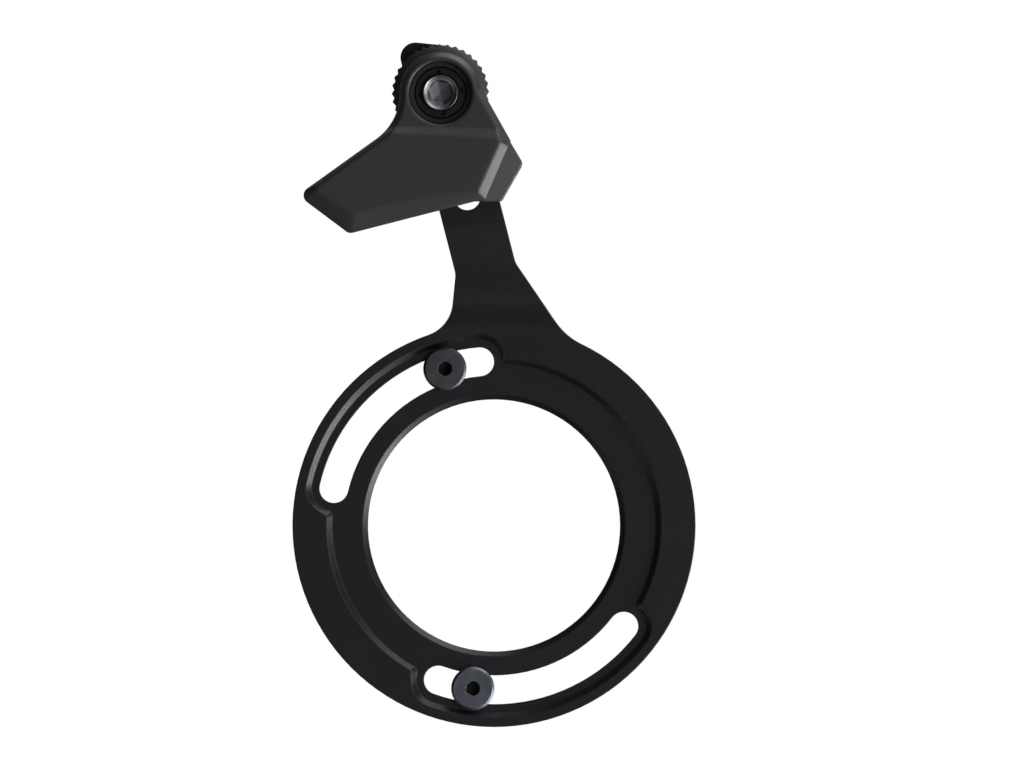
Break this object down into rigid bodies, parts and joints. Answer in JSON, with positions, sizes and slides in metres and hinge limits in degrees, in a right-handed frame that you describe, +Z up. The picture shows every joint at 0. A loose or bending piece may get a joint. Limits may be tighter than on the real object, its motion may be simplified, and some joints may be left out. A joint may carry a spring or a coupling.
{
  "type": "bicycle chain guide",
  "caption": "Upper chain guide for a crank: a slotted mounting ring with a cranked arm carries a two-cheek plastic chain cage that slides in the arm and shifts sideways with a knurled dial.",
  "frame": {"origin": "on the axis of the ring's bore, at the ring's mounting face", "axes": "+Y along the bore axis towards the frame, -Y outboard towards the chain's outer side, +Z up towards the guide, +X towards the bicycle's front"},
  "size_m": [0.08, 0.031, 0.1358],
  "materials": {
    "anodised_plate": "black anodised, satin",
    "guide_plastic": "moulded, fine matt grain",
    "dial_plastic": "moulded, matt",
    "bright_steel": "plated, bright",
    "black_steel": "black oxide",
    "dark_steel": "dark plated"
  },
  "bodies": {
    "plate": {"back_plate": "anodised_plate"},
    "mount_bolts": {"mount_bolt_upper": "dark_steel", "mount_bolt_lower": "dark_steel"},
    "slider": {"slot_nut": "black_steel"},
    "dial": {"adjuster_dial": "dial_plastic"},
    "guide": {"guide_body": "guide_plastic", "guide_cover": "guide_plastic", "cup_washer": "black_steel", "pivot_bolt": "bright_steel"}
  },
  "joints": [
    {"name": "ring_clocking", "type": "hinge", "parent": "plate", "child": "mount_bolts", "pos_m": [0, 0, 0], "axis": [0, -1, 0], "range_deg": [-12.3, 59.5]},
    {"name": "guide_height", "type": "slide", "parent": "plate", "child": "slider", "axis": [-0.2487, 0, 0.9686], "range_m": [-0.0072, 0.0025]},
    {"name": "dial_turn", "type": "hinge", "parent": "slider", "child": "dial", "pos_m": [-0.01063, -0.0106, 0.08587], "axis": [0, -1, 0], "range_deg": [-433, 433]},
    {"name": "side_shift", "type": "slide", "parent": "slider", "child": "guide", "axis": [0, -1, 0], "range_m": [-0.0012, 0.0012]}
  ],
  "couplings": [
    {"joint": "dial_turn", "follows": "side_shift", "rad_per_m": 6283.2}
  ]
}
